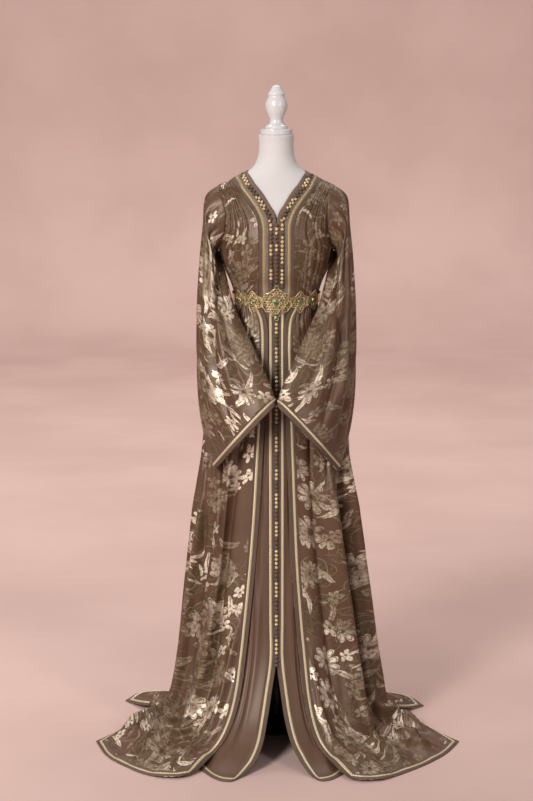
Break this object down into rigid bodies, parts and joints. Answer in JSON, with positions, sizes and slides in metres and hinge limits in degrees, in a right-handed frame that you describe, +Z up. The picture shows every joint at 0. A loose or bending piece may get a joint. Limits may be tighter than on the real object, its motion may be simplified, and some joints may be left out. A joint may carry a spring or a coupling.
{
  "type": "moroccan kaftan on a dress form",
  "caption": "Long open-front kaftan over an underskirt, bell sleeves, braid edges, knot buttons and a gilt plate belt, worn by a limbless bust form on a pole stand.",
  "frame": {"origin": "centre of the stand base's underside, on the floor", "axes": "+Z up along the stand pole; +X to the viewer's right, which is the garment's left; -Y to the garment's front"},
  "size_m": [0.9658, 0.717, 1.72],
  "materials": {
    "form_cloth": "off-white jersey cover over a moulded bust",
    "form_gloss": "white gloss paint on turned neck cap and finial",
    "stand_paint": "plain dark paint",
    "patterned_satin": "taupe satin with a raised bronze floral",
    "plain_satin": "plain taupe satin",
    "braid": "brown cord braid with one gold cord",
    "button_thread": "knotted gold and brown thread buttons",
    "gilt": "polished gilt filigree",
    "green_stone": "polished green stone"
  },
  "bodies": {
    "root": {"form_torso": "form_cloth", "form_neck_cap": "form_gloss", "form_finial": "form_gloss", "stand_pole": "stand_paint", "stand_base": "stand_paint", "robe_front_left": "patterned_satin", "robe_front_right": "patterned_satin", "robe_back": "patterned_satin", "robe_trim_left": "braid", "robe_trim_right": "braid", "robe_trim_back": "braid", "sleeve_left": "patterned_satin", "sleeve_right": "patterned_satin", "cuff_trim_left": "braid", "cuff_trim_right": "braid", "underskirt_front_left": "plain_satin", "underskirt_front_right": "plain_satin", "underskirt_trim_left": "braid", "underskirt_trim_right": "braid", "neck_band": "braid", "buttons_left": "button_thread", "buttons_right": "button_thread", "buttons_centre": "button_thread", "buttons_skirt": "button_thread", "belt_back": "gilt", "belt_medallion_centre": "gilt", "belt_medallion_left": "gilt", "belt_medallion_right": "gilt", "belt_medallion_outer_left": "gilt", "belt_medallion_outer_right": "gilt", "belt_hinge_left": "gilt", "belt_hinge_right": "gilt", "belt_hinge_outer_left": "gilt", "belt_hinge_outer_right": "gilt", "belt_stone_centre": "green_stone", "belt_stone_top": "green_stone", "belt_stone_bottom": "green_stone", "belt_stone_left": "green_stone", "belt_stone_right": "green_stone"}
  },
  "joints": []
}
